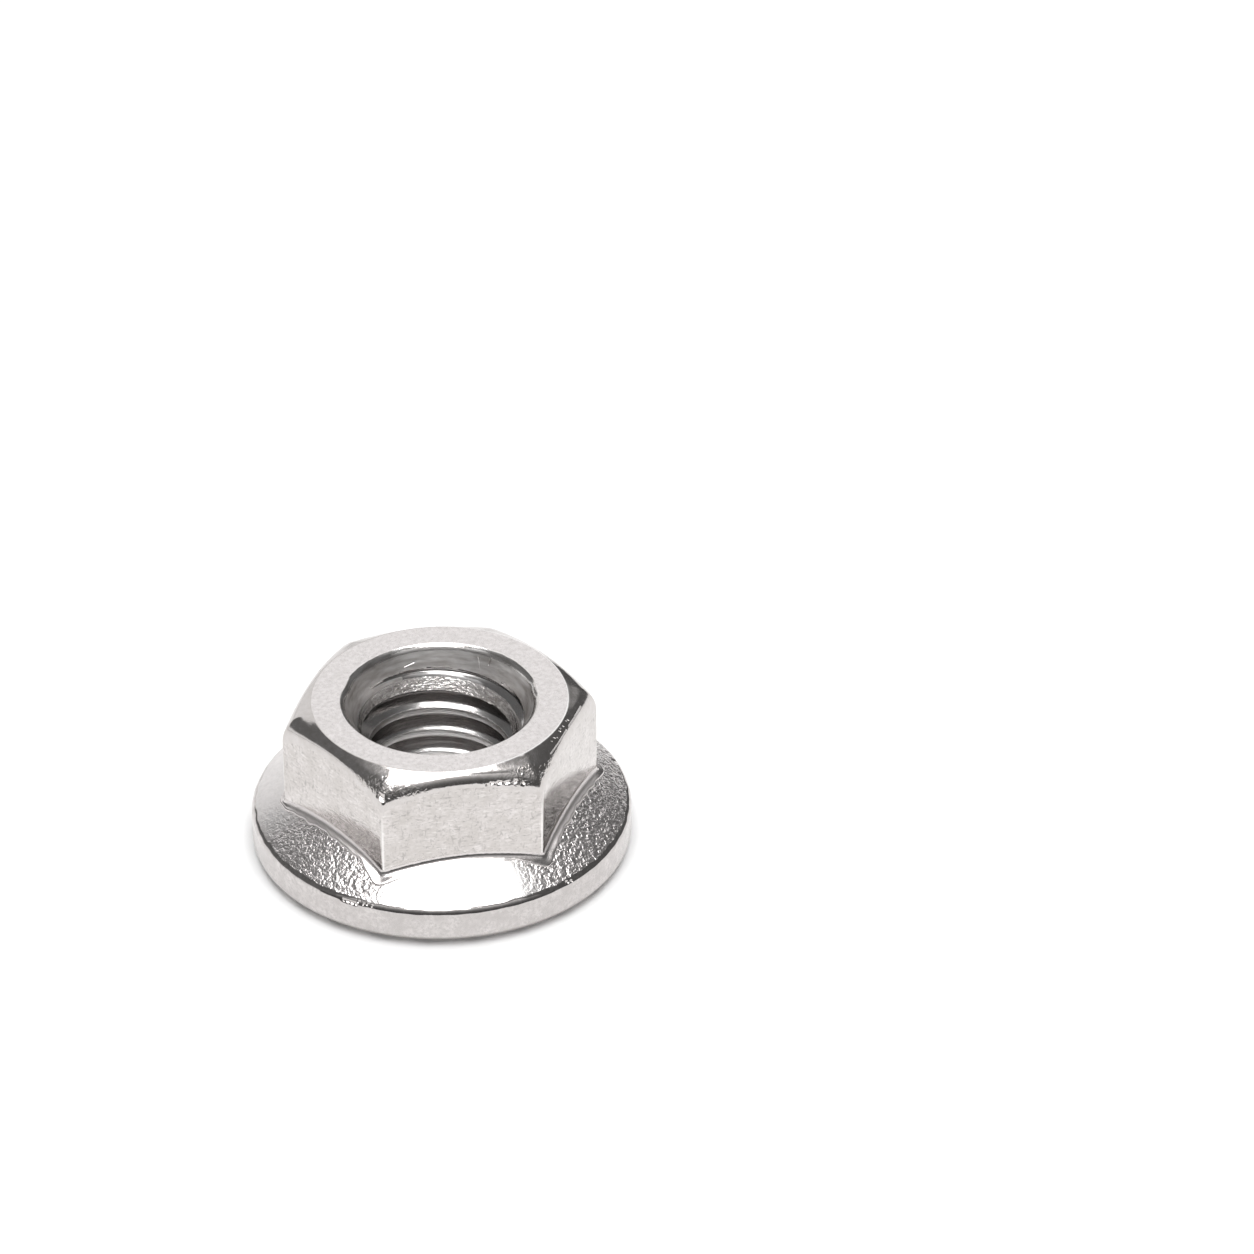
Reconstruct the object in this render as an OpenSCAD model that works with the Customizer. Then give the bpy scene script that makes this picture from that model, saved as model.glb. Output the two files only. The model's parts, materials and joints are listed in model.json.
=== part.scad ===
// Hexagon flange nut with a serrated bearing face, M8 coarse thread, stainless steel.
// One cold-formed piece. The origin is the centre of the plane that the tooth crests stand on,
// and +Z runs up the thread axis. All sizes are in millimetres and degrees.

/* [Thread] */
// Nominal diameter of the thread
thread_d = 8; // [6:0.1:8.5]
// Pitch of the thread
thread_pitch = 1.25; // [0.75:0.05:1.5]

/* [Countersinks] */
// Diameter of the countersink at the top face
top_sink_d = 9.25; // [8.6:0.05:10]
// Diameter of the countersink at the bearing face
bottom_sink_d = 8.85; // [8.6:0.05:10]
// Angle between the countersink's wall and the thread axis
sink_half_angle = 28; // [25:1:45]
// Radius of the rounded lip at each countersink's mouth
sink_lip_r = 0.5; // [0.2:0.05:1.2]
// Slope of the lip where it meets the face
sink_lip_slope = 25; // [5:1:40]

/* [Hexagon] */
// Width across the flats
across_flats = 12.85; // [12.2:0.05:15]
// Height from the tooth crests to the top face
overall_h = 7.75; // [6.5:0.05:10]
// Distance from a flat in to the edge of the top face
crown_inset = 0.45; // [0.2:0.05:0.7]
// Slope of the crown that chamfers the corners
crown_slope = 28; // [15:1:36]
// Radius of the roll between the crown and a corner
crown_roll_r = 0.9; // [0.1:0.02:1.2]
// Radius of the roll between the crown and a flat
flat_roll_r = 0.75; // [0.2:0.05:1]
// Amount that is rounded off each upright corner
corner_break = 0.05; // [0.02:0.01:0.3]

/* [Flange] */
// Diameter of the flange
flange_d = 17.8; // [16.6:0.1:21]
// Height of the flange's straight rim
rim_h = 1.07; // [0.5:0.01:2]
// Radius of the rim's upper edge
rim_top_r = 0.4; // [0.1:0.05:0.6]
// Radius of the rim's lower edge
rim_bottom_r = 0.35; // [0.1:0.05:0.6]
// Slope of the flange's top
flange_slope = 28; // [10:1:32]
// Slope of the bevel between the tooth ends and the rim
bevel_slope = 33; // [20:1:50]

/* [Serrations] */
// Number of teeth
tooth_count = 24; // [16:1:36]
// Width of the flat land between the countersink and the teeth
land_w = 1.43; // [1:0.01:1.7]
// Height of the land above the tooth crests
land_rise = 0.5; // [0.2:0.05:0.7]
// Distance from the rim in to the outer ends of the crests
crest_inset = 0.65; // [0.4:0.05:0.9]
// Depth of the gullet between two teeth at their outer ends
tooth_depth = 0.34; // [0.1:0.02:0.5]
// Angle between a tooth and the radius at the tooth's inner end
tooth_lean = 66; // [40:1:72]
// Share of the pitch that the steep side of a tooth takes
wall_share = 0.22; // [0.1:0.02:0.4]

/* [Hidden] */
$fn = 96;

steel = [0.78, 0.77, 0.76];
// Height of the basic thread triangle that a nut's thread takes away on each side, as a share of the pitch
thread_depth_share = 0.541266;
// How much steeper than the crown the roll over a flat is where it reaches the crown
roll_crease = 10;
// How far the cutters reach past the faces that they cut
cut_over = 1;
// How far the flange runs in under the hexagon
root_overlap = 0.5;
// How far the cutter stays under a crest, which leaves a narrow worn edge on it
crest_gap = 0.02;
// Stations along a tooth, as shares of its length
tooth_stations = [0, 0.06, 0.2, 0.45, 0.7, 1];

bore_r = thread_d / 2 - thread_depth_share * thread_pitch;
flange_r = flange_d / 2;
crest_r = flange_r - crest_inset;
tooth_in_r = bottom_sink_d / 2 + land_w;
corner_r = across_flats / 2 / cos(30) - corner_break;
top_face_r = across_flats / 2 - crown_inset;

// Lower rim edge: a round between the bevel and the upright rim
bevel_tangent = rim_bottom_r * tan((90 - bevel_slope) / 2);
bevel_top = crest_inset * tan(bevel_slope);
rim_low = bevel_top + bevel_tangent;
rim_high = rim_low + rim_h;

// Upper rim edge: a round between the upright rim and the flange's sloping top
top_round_end = [
    flange_r - rim_top_r + rim_top_r * sin(flange_slope),
    rim_high + rim_top_r * cos(flange_slope)
];
root_r = across_flats / 2 - root_overlap;
root_z = top_round_end[1] + (top_round_end[0] - root_r) * tan(flange_slope);

// Crown: a cone from the top face, rolled over into the upright corners
crown_tangent = crown_roll_r * tan((90 - crown_slope) / 2);
crown_foot = overall_h - (corner_r - top_face_r) * tan(crown_slope);

// Roll over a flat: it follows an arc across the flat that sags as much as the crown does there
flat_r = across_flats / 2;
crown_sag = (corner_r - flat_r) * tan(crown_slope);
half_flat = flat_r * tan(30);
sag_r = (half_flat * half_flat + crown_sag * crown_sag) / (2 * crown_sag);
roll_end_angle = 90 - crown_slope - roll_crease;
roll_end_inset = flat_roll_r * (1 - cos(roll_end_angle));
roll_end_z = overall_h - (crown_inset - roll_end_inset) * tan(crown_slope);
roll_z = roll_end_z - flat_roll_r * sin(roll_end_angle);

// Angle that a tooth has swept by the time it reaches a radius: its line is straight in plan
function sweep(r) = tooth_lean - asin(tooth_in_r * sin(tooth_lean) / r);

// Share of the tooth's length at a radius
function along(r) = (r - tooth_in_r) / (crest_r - tooth_in_r);

// Height of the cone that the crests lie on
function crest_z(r) = land_rise * (1 - along(r));

// Height of the gullet's ceiling, which fades out at the inner end
function gullet_z(r) = crest_z(r) + tooth_depth * sqrt(along(r));

// Half section of the flange, with its bevelled foot and rounded rim
module flange_section() {
    polygon([
        [0, land_rise],
        [tooth_in_r, land_rise],
        [crest_r, 0],
        [flange_r - bevel_tangent * cos(bevel_slope), bevel_top - bevel_tangent * sin(bevel_slope)],
        [flange_r, rim_low],
        [flange_r, rim_high],
        top_round_end,
        [root_r, root_z],
        [0, root_z]
    ]);
    translate([flange_r - rim_bottom_r, rim_low]) circle(rim_bottom_r);
    translate([flange_r - rim_top_r, rim_high]) circle(rim_top_r);
}

// Half section of the crowned top, out to the corners
module crown_section() {
    polygon([
        [0, rim_low],
        [corner_r, rim_low],
        [corner_r, crown_foot - crown_tangent],
        [corner_r - crown_tangent * cos(crown_slope), crown_foot + crown_tangent * sin(crown_slope)],
        [top_face_r, overall_h],
        [0, overall_h]
    ]);
    translate([corner_r - crown_roll_r, crown_foot - crown_tangent]) circle(crown_roll_r);
}

// Half section of a disc with two flats as its faces, whose edge rolls over from each into a cone
module flat_pair_section() {
    end_r = sag_r + flat_roll_r * sin(roll_end_angle);
    end_x = flat_r - roll_end_inset;
    polygon([
        [0, -flat_r],
        [sag_r, -flat_r],
        [end_r, -end_x],
        [end_r + end_x * tan(crown_slope + roll_crease), 0],
        [end_r, end_x],
        [sag_r, flat_r],
        [0, flat_r]
    ]);
    for (side = [-1, 1])
        translate([sag_r, side * (flat_r - flat_roll_r)]) circle(flat_roll_r);
}

// Two opposite flats with their rolled upper edges
module flat_pair() {
    translate([0, 0, roll_z - sag_r]) rotate([90, 0, 0]) rotate_extrude() flat_pair_section();
}

module hexagon_body() {
    intersection() {
        rotate_extrude() crown_section();
        flat_pair();
        rotate([0, 0, 60]) flat_pair();
        rotate([0, 0, 120]) flat_pair();
    }
}

// Half section of a countersink whose mouth lies at height 0 and that narrows downwards to the bore
module sink_section(mouth_r) {
    lip = [mouth_r + sink_lip_r * sin(sink_lip_slope), -sink_lip_r * cos(sink_lip_slope)];
    wall_top = lip + sink_lip_r * [-cos(sink_half_angle), sin(sink_half_angle)];
    wall_h = (wall_top[0] - bore_r) / tan(sink_half_angle);
    difference() {
        polygon([
            [0, wall_top[1] - wall_h],
            [bore_r, wall_top[1] - wall_h],
            wall_top,
            lip,
            [lip[0], cut_over],
            [0, cut_over]
        ]);
        translate(lip) circle(sink_lip_r);
    }
}

module bore() {
    translate([0, 0, -cut_over]) cylinder(r = bore_r, h = overall_h + 2 * cut_over);
    translate([0, 0, overall_h]) rotate_extrude() sink_section(top_sink_d / 2);
    translate([0, 0, land_rise]) mirror([0, 0, 1]) rotate_extrude() sink_section(bottom_sink_d / 2);
}

// Ring that cuts the gullets: its upper face is a saw tooth round the axis that rises slowly and
// drops steeply, and it passes just under the crests
module gullets() {
    radii = [
        for (s = tooth_stations) tooth_in_r + s * (crest_r - tooth_in_r),
        flange_r + cut_over
    ];
    pitch = 360 / tooth_count;
    ring = 2 * tooth_count;
    last = len(radii) - 1;
    turn = [for (k = [0:ring - 1]) floor(k / 2) * pitch + (k % 2) * wall_share * pitch];
    saw = [
        for (r = radii, k = [0:ring - 1])
            let (a = sweep(r) + turn[k], is_gullet = k % 2 == 1 && r > tooth_in_r)
            [r * cos(a), r * sin(a), is_gullet ? gullet_z(r) : crest_z(r) - crest_gap]
    ];
    foot = [
        for (r = [radii[0], radii[last]], k = [0:ring - 1])
            let (a = sweep(r) + turn[k])
            [r * cos(a), r * sin(a), -cut_over]
    ];
    inner_foot = len(saw);
    outer_foot = inner_foot + ring;
    faces = [
        for (k = [0:ring - 1])
            let (n = (k + 1) % ring)
            each [
                for (i = [0:last - 1]) each [
                    [i * ring + k, i * ring + n, (i + 1) * ring + n],
                    [i * ring + k, (i + 1) * ring + n, (i + 1) * ring + k]
                ],
                [last * ring + k, last * ring + n, outer_foot + n, outer_foot + k],
                [k, inner_foot + k, inner_foot + n, n],
                [inner_foot + k, outer_foot + k, outer_foot + n, inner_foot + n]
            ]
    ];
    polyhedron(concat(saw, foot), faces);
}

module flange_nut() {
    color(steel) difference() {
        union() {
            rotate_extrude() flange_section();
            hexagon_body();
        }
        bore();
        gullets();
    }
}

flange_nut();
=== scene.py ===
"""A stainless steel hexagon flange nut on a white table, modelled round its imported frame."""

import json
import math

import bmesh
import bpy
from mathutils import Matrix, Vector


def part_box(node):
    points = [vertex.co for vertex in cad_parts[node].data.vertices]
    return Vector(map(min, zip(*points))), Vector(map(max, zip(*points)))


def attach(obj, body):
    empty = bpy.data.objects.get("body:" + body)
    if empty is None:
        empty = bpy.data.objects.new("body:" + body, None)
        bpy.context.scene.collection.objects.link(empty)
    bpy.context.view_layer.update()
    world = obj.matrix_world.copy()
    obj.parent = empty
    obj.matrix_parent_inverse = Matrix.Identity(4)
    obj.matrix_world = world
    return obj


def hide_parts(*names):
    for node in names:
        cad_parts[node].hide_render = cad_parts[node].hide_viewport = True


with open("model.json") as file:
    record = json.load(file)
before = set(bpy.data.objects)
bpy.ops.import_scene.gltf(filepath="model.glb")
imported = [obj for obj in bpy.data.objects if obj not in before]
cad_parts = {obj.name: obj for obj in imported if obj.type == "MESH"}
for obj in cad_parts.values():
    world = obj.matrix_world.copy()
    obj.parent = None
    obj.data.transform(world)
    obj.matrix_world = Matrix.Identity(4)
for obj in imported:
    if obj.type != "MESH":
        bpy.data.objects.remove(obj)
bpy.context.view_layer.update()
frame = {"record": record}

scene = bpy.context.scene

NUT = "flange_nut"
MM = 0.001

# Sizes that the frame gives, in millimetres
nut_low, nut_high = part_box(NUT)
FLANGE_R = (nut_high.x - nut_low.x) / 2 / MM
OVERALL_H = (nut_high.z - nut_low.z) / MM
thread_mount = next(m for m in frame["record"]["mounts"] if m["name"] == "thread")
MINOR_R = thread_mount["dims"]["r_mm"]

# Thread, in millimetres
THREAD_PITCH = 1.25
MAJOR_R = 4.0
CREST_FLAT = THREAD_PITCH / 4
ROOT_FLAT = THREAD_PITCH / 8
THREAD_HALF_ANGLE = 30
THREAD_ROUND = 0.05
# Share of a pitch by which the thread is set lower, and turns to spare that are trimmed off
THREAD_PHASE = 0.03
SPARE_TURNS = 2

# Countersinks, in millimetres and degrees
TOP_MOUTH_R = 4.625
BOTTOM_MOUTH_R = 4.425
SINK_HALF_ANGLE = 28
LIP_R = 0.5
LIP_SLOPE = 25
# Burrs that narrow the top mouth: middle and half width in degrees, height
MOUTH_BURRS = [(157, 9, 0.09), (150, 4, 0.03), (0.5, 9, 0.06)]
# Depth in each countersink at which the thread joins it, and the gap that the join closes
TOP_JOIN_DEPTH = 0.5
BOTTOM_JOIN_DEPTH = 0.25
JOIN_GAP = 0.04

# Hexagon and crown, in millimetres and degrees
ACROSS_FLATS = 12.85
CORNER_R = 0.22
TOP_FACE_R = 5.975
TOP_EDGE_R = 0.15
CROWN_SLOPE = 30
CROWN_ROLL_R = 0.75
# How much wider and higher the roll is at a corner, and how late towards the corner it gets so
CORNER_ROLL = 0.8
CORNER_LIFT = 0.32
CORNER_LATE = 1.6
ROOT_FILLET_R = 0.3
# Share of the ledge that the fillet at the foot of a flat may take
FILLET_SHARE = 0.95
# Width of the ledge round the foot of the hexagon at each corner and each flat in turn, from +X
LEDGE_WIDTHS = (0.38, 0.34, 0.42, 0.34, 0.40, 0.34, 0.28, 0.30, 0.58, 0.25, 0.48, 0.32)
LEDGE_SLOPE = 20
LEDGE_CORNER_R = 0.9
# Angle from a corner over which the ledge narrows to its width on the flat
TOE_ANGLE = 13
# Height of each small wave of the ledge's edge, and the waves: how many round the axis, and their start
LEDGE_WAVE = 0.022
LEDGE_WAVES = ((17, 0), (29, 70), (53, 20))
STEP_R = 0.09
STEP_FOOT = 0.03
# Share of the full step that ends the ledge at each corner and each flat in turn
STEP_SHARES = (1, 1, 1, 1, 1, 1, 1, 1, 1, 0.15, 1, 1)
# Width of the narrow strip of mesh that keeps an edge crisp
EDGE_GUARD = 0.05

# Flange, in millimetres and degrees
FLANGE_SLOPE = 28
FLANGE_BULGE = 0.03
RIM_H = 1.07
RIM_TOP_R = 0.4
# How much softer the rim's upper edge is on one side, and its small waves as for the ledge
RIM_TOP_SPREAD = 0.02
SOFT_SIDE = -160
RIM_TOP_WAVE = 0.025
RIM_TOP_WAVES = ((19, 0), (37, 40), (61, 90))
RIM_BOTTOM_R = 0.35
BEVEL_SLOPE = 33

# Serrations, in millimetres and degrees
TOOTH_COUNT = 24
LAND_W = 1.43
LAND_RISE = 0.5
CREST_INSET = 0.65
TOOTH_DEPTH = 0.34
TOOTH_LEAN = 66
WALL_SHARE = 0.22
TOOTH_END_PASSES = 4

# Small flats that knocks have left: angle, distance from the axis and height of the middle, then the
# side that it faces, how far it faces up, and its reach
FRONT_BLOW = (-100, 60)
DINGS = [
    (-121, 7.2, 6.76, *FRONT_BLOW, 0.25),
    (-77.5, 6.53, 7.1, *FRONT_BLOW, 0.12),
    (-74.5, 6.6, 7.08, *FRONT_BLOW, 0.14),
    (-71.5, 6.68, 7.05, *FRONT_BLOW, 0.15),
    (-68.5, 6.79, 7.0, *FRONT_BLOW, 0.15),
    (-65.5, 6.92, 6.93, *FRONT_BLOW, 0.13),
    (-129.6, 8.87, 1.76, *FRONT_BLOW, 0.14),
    (-128.2, 8.86, 1.76, *FRONT_BLOW, 0.18),
    (-126.8, 8.86, 1.76, *FRONT_BLOW, 0.18),
    (-125.4, 8.87, 1.76, *FRONT_BLOW, 0.14),
    (10, 8.76, 1.95, 20, 55, 0.2),
    (76, 8.76, 1.95, 70, 55, 0.24),
    (122, 8.76, 1.95, 150, 50, 0.2),
    (3, 7.2, 6.8, 10, 55, 0.16),
    (121, 7.2, 6.8, 130, 55, 0.18),
]

# Mesh columns round the axis: a whole number to each tooth and to each flat
COLUMNS = 720
COLUMN_ANGLE = 360 / COLUMNS
THREAD_STEPS = 240
FLATS = 6
FLAT_ANGLE = 360 / FLATS
HALF_FLAT = FLAT_ANGLE / 2
WELD = 0.002
# Angle between two faces from which their edge is drawn sharp
SHARP_ANGLE = 32

# Mesh rows in each stretch of the section
LIP_ROWS = 6
TOP_EDGE_ROWS = 4
CROWN_ROWS = 3
ROLL_ROWS = 14
FLAT_ROWS = 4
FILLET_ROWS = 6
LEDGE_ROWS = 2
STEP_ROWS = 4
FLANGE_ROWS = 6
RIM_TOP_ROWS = 8
RIM_WALL_ROWS = 3
RIM_FOOT_ROWS = 5
BEVEL_ROWS = 3
TOOTH_ROWS = 13
LAND_ROWS = 3
BOTTOM_LIP_ROWS = 4

# Heights and radii that follow from the sizes above
FLAT_R = ACROSS_FLATS / 2
CREST_R = FLANGE_R - CREST_INSET
TOOTH_IN_R = BOTTOM_MOUTH_R + LAND_W


def sin(angle):
    return math.sin(math.radians(angle))


def cos(angle):
    return math.cos(math.radians(angle))


def tan(angle):
    return math.tan(math.radians(angle))


BEVEL_TANGENT = RIM_BOTTOM_R * tan((90 - BEVEL_SLOPE) / 2)
RIM_LOW = CREST_INSET * tan(BEVEL_SLOPE) + BEVEL_TANGENT
RIM_HIGH = RIM_LOW + RIM_H
RIM_FOOT_CENTRE = (FLANGE_R - RIM_BOTTOM_R, RIM_LOW)
RIM_ROUND_END = (
    FLANGE_R - RIM_TOP_R + RIM_TOP_R * sin(FLANGE_SLOPE),
    RIM_HIGH + RIM_TOP_R * cos(FLANGE_SLOPE),
)


# Section lines

def line(start, end, count):
    """Points from start up to, but not including, end."""
    shares = [i / count for i in range(count)]
    return [tuple(a + (b - a) * s for a, b in zip(start, end)) for s in shares]


def arc(centre, radius, start, end, count):
    """Points of a round from one angle up to, but not including, the other."""
    angles = [start + (end - start) * i / count for i in range(count)]
    return [(centre[0] + radius * cos(a), centre[1] + radius * sin(a)) for a in angles]


def on_arc(centre, radius, angle):
    return centre[0] + radius * cos(angle), centre[1] + radius * sin(angle)


def ripple(angle, waves):
    """Sum of small waves round the axis: how many of each, and where it starts."""
    return sum(sin(count * angle + start) for count, start in waves)


def on_nut(angle, radius, height):
    return Vector((radius * cos(angle), radius * sin(angle), height))


def sink_lip(mouth_r):
    """Centre of the round lip of a countersink, from the middle of its mouth; depth counts down."""
    return mouth_r + LIP_R * sin(LIP_SLOPE), -LIP_R * cos(LIP_SLOPE)


def sink_radius(mouth_r, depth):
    """Radius of a countersink at a depth: a round lip that runs into a cone."""
    lip = sink_lip(mouth_r)
    wall_r, wall_y = on_arc(lip, LIP_R, 180 - SINK_HALF_ANGLE)
    if depth >= -wall_y:
        return wall_r - (depth + wall_y) * tan(SINK_HALF_ANGLE)
    return lip[0] - math.sqrt(LIP_R**2 - (depth + lip[1]) ** 2)


def corner_offset(angle):
    """Angle from the nearest corner of the hexagon; one corner lies on +X."""
    return abs((angle + HALF_FLAT) % FLAT_ANGLE - HALF_FLAT)


def hexagon_radius(angle, flat_r, corner_r):
    """Distance from the axis to a hexagon with rounded corners."""
    from_corner = corner_offset(angle)
    from_middle = HALF_FLAT - from_corner
    round_centre = (flat_r - corner_r) / cos(HALF_FLAT)
    if flat_r * tan(from_middle) < (flat_r - corner_r) * tan(HALF_FLAT):
        return flat_r / cos(from_middle)
    across = round_centre * sin(from_corner)
    return round_centre * cos(from_corner) + math.sqrt(corner_r**2 - across**2)


def flat_radius(angle):
    return hexagon_radius(angle, FLAT_R, CORNER_R)


def flange_height(radius):
    """Height of the flange's sloping top, a little convex."""
    start, end = RIM_ROUND_END[0], FLAT_R
    share = (start - radius) / (start - end)
    bulge = FLANGE_BULGE * 4 * share * (1 - share)
    return RIM_ROUND_END[1] + (start - radius) * tan(FLANGE_SLOPE) + bulge


# Serrations: every tooth is straight in plan, rises slowly and drops steeply

def sweep(radius):
    return TOOTH_LEAN - math.degrees(math.asin(TOOTH_IN_R * sin(TOOTH_LEAN) / radius))


def along(radius):
    return (radius - TOOTH_IN_R) / (CREST_R - TOOTH_IN_R)


def tooth_rise(angle):
    """Share of the gullet's depth at a place between two crests."""
    place = angle * TOOTH_COUNT / 360 % 1
    if place < WALL_SHARE:
        return place / WALL_SHARE
    return (1 - place) / (1 - WALL_SHARE)


def tooth_height(radius, rise):
    share = along(radius)
    return LAND_RISE * (1 - share) + TOOTH_DEPTH * math.sqrt(max(share, 0)) * rise


def tooth_end(rise):
    """Radius at which a gullet runs out in the bevel."""
    length = CREST_R - TOOTH_IN_R
    fall = tan(BEVEL_SLOPE) + LAND_RISE / length
    past = 0
    for _ in range(TOOTH_END_PASSES):
        past = TOOTH_DEPTH * rise * math.sqrt(1 + past / length) / fall
    return CREST_R + past


# The teeth lean, so the mesh columns under the flange are turned to follow them
COLUMN_TURN = round(sweep(CREST_R) / COLUMN_ANGLE) * COLUMN_ANGLE


# Zones of the section at one angle, from the top countersink round to the bottom one.
# Each gives points (radius, height, turn) and stops short of the next zone's first point.

def unturned(points):
    return [(r, z, 0) for r, z in points]


def top_mouth(angle):
    """Radius of the top countersink's mouth, with its burrs."""
    radius = TOP_MOUTH_R
    for middle, half_width, height in MOUTH_BURRS:
        offset = abs((angle - middle + 180) % 360 - 180) / half_width
        radius -= height * max(1 - offset**2, 0) ** 2
    return radius


def top_sink_zone(angle):
    lip = sink_lip(top_mouth(angle))
    join = (sink_radius(TOP_MOUTH_R, TOP_JOIN_DEPTH), -TOP_JOIN_DEPTH)
    points = [join] + arc(lip, LIP_R, 180 - SINK_HALF_ANGLE, 90 + LIP_SLOPE, LIP_ROWS)
    return unturned((r, OVERALL_H + y) for r, y in points)


def top_face_zone(angle):
    outer = TOP_FACE_R - TOP_EDGE_R * tan(CROWN_SLOPE / 2)
    mouth_r = top_mouth(angle)
    radii = [mouth_r, mouth_r + EDGE_GUARD, (mouth_r + outer) / 2, outer - EDGE_GUARD]
    return unturned((r, OVERALL_H) for r in radii)


def crown_roll(angle):
    """Centre, radius and start angle of the roll from the crown into a flat, softest at the corners."""
    wall_r = flat_radius(angle)
    share = ((wall_r - FLAT_R) / (FLAT_R / cos(HALF_FLAT) - FLAT_R)) ** CORNER_LATE
    roll_r = CROWN_ROLL_R + CORNER_ROLL * share
    crown_foot = OVERALL_H - (wall_r - TOP_FACE_R) * tan(CROWN_SLOPE) + CORNER_LIFT * share
    slope = math.degrees(math.atan2(OVERALL_H - crown_foot, wall_r - TOP_FACE_R))
    return (wall_r - roll_r, crown_foot - roll_r * tan((90 - slope) / 2)), roll_r, 90 - slope


def crown_zone(angle):
    centre, roll_r, roll_from = crown_roll(angle)
    edge_centre = (TOP_FACE_R - TOP_EDGE_R * tan((90 - roll_from) / 2), OVERALL_H - TOP_EDGE_R)
    edge = arc(edge_centre, TOP_EDGE_R, 90, roll_from, TOP_EDGE_ROWS)
    run_from, run_to = on_arc(edge_centre, TOP_EDGE_R, roll_from), on_arc(centre, roll_r, roll_from)
    roll = arc(centre, roll_r, roll_from, 0, ROLL_ROWS)
    return unturned(edge + line(run_from, run_to, CROWN_ROWS) + roll)


def eased(angle, values):
    """Value at an angle, from one for each corner and flat in turn, eased from corner to flat."""
    corner = round(angle / FLAT_ANGLE) % FLATS
    flat = math.floor(angle / FLAT_ANGLE) % FLATS
    share = min(corner_offset(angle) / TOE_ANGLE, 1)
    at_corner, at_flat = values[2 * corner], values[2 * flat + 1]
    return at_corner + (at_flat - at_corner) * share**2 * (3 - 2 * share)


def ledge_end(angle):
    """Outer end of the narrow ledge round the foot of the hexagon, on the flange's sloping top."""
    width = eased(angle, LEDGE_WIDTHS) + LEDGE_WAVE * ripple(angle, LEDGE_WAVES)
    radius = hexagon_radius(angle, FLAT_R + width, LEDGE_CORNER_R)
    return radius, flange_height(radius)


def step_round(angle):
    """Centre and radius of the round step that ends the ledge."""
    share = eased(angle, STEP_SHARES)
    radius = STEP_R * share
    end_r, end_z = ledge_end(angle)
    return (end_r - radius, end_z + STEP_FOOT * share), radius


def ledge_slope(angle):
    """Slope of the ledge: the flange's own where no step ends it."""
    return FLANGE_SLOPE + (LEDGE_SLOPE - FLANGE_SLOPE) * eased(angle, STEP_SHARES)


def root_fillet(angle):
    """Centre and radius of the fillet between a flat and the ledge, which it keeps within."""
    wall_r = flat_radius(angle)
    slope = ledge_slope(angle)
    edge_r, edge_z = on_arc(*step_round(angle), 90 - slope)
    room = FILLET_SHARE * (edge_r - wall_r) / (1 - sin(slope))
    radius = min(ROOT_FILLET_R, room)
    foot = edge_z + (edge_r - wall_r) * tan(slope)
    return (wall_r + radius, foot + radius * tan((90 - slope) / 2)), radius


def flat_zone(angle):
    wall_r = flat_radius(angle)
    roll_end = crown_roll(angle)[0][1]
    return unturned(line((wall_r, roll_end), (wall_r, root_fillet(angle)[0][1]), FLAT_ROWS))


def root_zone(angle):
    slope = ledge_slope(angle)
    fillet, step = root_fillet(angle), step_round(angle)
    foot = arc(*fillet, 180, 270 - slope, FILLET_ROWS)
    ledge = line(on_arc(*fillet, 270 - slope), on_arc(*step, 90 - slope), LEDGE_ROWS)
    drop = arc(*step, 90 - slope, 0, STEP_ROWS) + [on_arc(*step, 0)]
    return unturned(foot + ledge + drop)


def flange_zone(angle):
    start_r = ledge_end(angle)[0]
    centre, radius = rim_round(angle)
    end_r = centre[0] + radius * sin(FLANGE_SLOPE)
    radii = [start_r] + [r for (r,) in line((start_r + EDGE_GUARD,), (end_r,), FLANGE_ROWS)]
    return unturned((r, flange_height(r)) for r in radii)


def rim_round(angle):
    """Centre and radius of the rim's upper round, softest on one side and a little uneven."""
    wave = RIM_TOP_WAVE * ripple(angle, RIM_TOP_WAVES)
    radius = RIM_TOP_R + RIM_TOP_SPREAD * cos(angle - SOFT_SIDE) + wave
    inset = RIM_ROUND_END[0] - FLANGE_R + radius * (1 - sin(FLANGE_SLOPE))
    height = RIM_ROUND_END[1] + inset * tan(FLANGE_SLOPE) - radius * cos(FLANGE_SLOPE)
    return (FLANGE_R - radius, height), radius


def rim_zone(angle):
    centre, radius = rim_round(angle)
    top = arc(centre, radius, 90 - FLANGE_SLOPE, 0, RIM_TOP_ROWS)
    wall = line((FLANGE_R, centre[1]), (FLANGE_R, RIM_LOW), RIM_WALL_ROWS)
    foot = arc(RIM_FOOT_CENTRE, RIM_BOTTOM_R, 0, BEVEL_SLOPE - 90, RIM_FOOT_ROWS)
    return unturned(top + wall + foot)


def tooth_zone(angle):
    rise = tooth_rise(angle - COLUMN_TURN)
    end_r = tooth_end(rise)
    end = (end_r, (end_r - CREST_R) * tan(BEVEL_SLOPE), sweep(end_r) - COLUMN_TURN)
    foot = on_arc(RIM_FOOT_CENTRE, RIM_BOTTOM_R, BEVEL_SLOPE - 90)
    bevel = line((*foot, 0), end, BEVEL_ROWS)
    shares = [(1 - row / TOOTH_ROWS) ** 2 for row in range(TOOTH_ROWS)]
    radii = [TOOTH_IN_R + s * (end_r - TOOTH_IN_R) for s in shares]
    return bevel + [(r, tooth_height(r, rise), sweep(r) - COLUMN_TURN) for r in radii]


def land_zone(angle):
    points = line((TOOTH_IN_R, LAND_RISE), (BOTTOM_MOUTH_R + EDGE_GUARD, LAND_RISE), LAND_ROWS)
    points.append((BOTTOM_MOUTH_R + EDGE_GUARD, LAND_RISE))
    return [(r, z, -COLUMN_TURN) for r, z in points]


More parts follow.
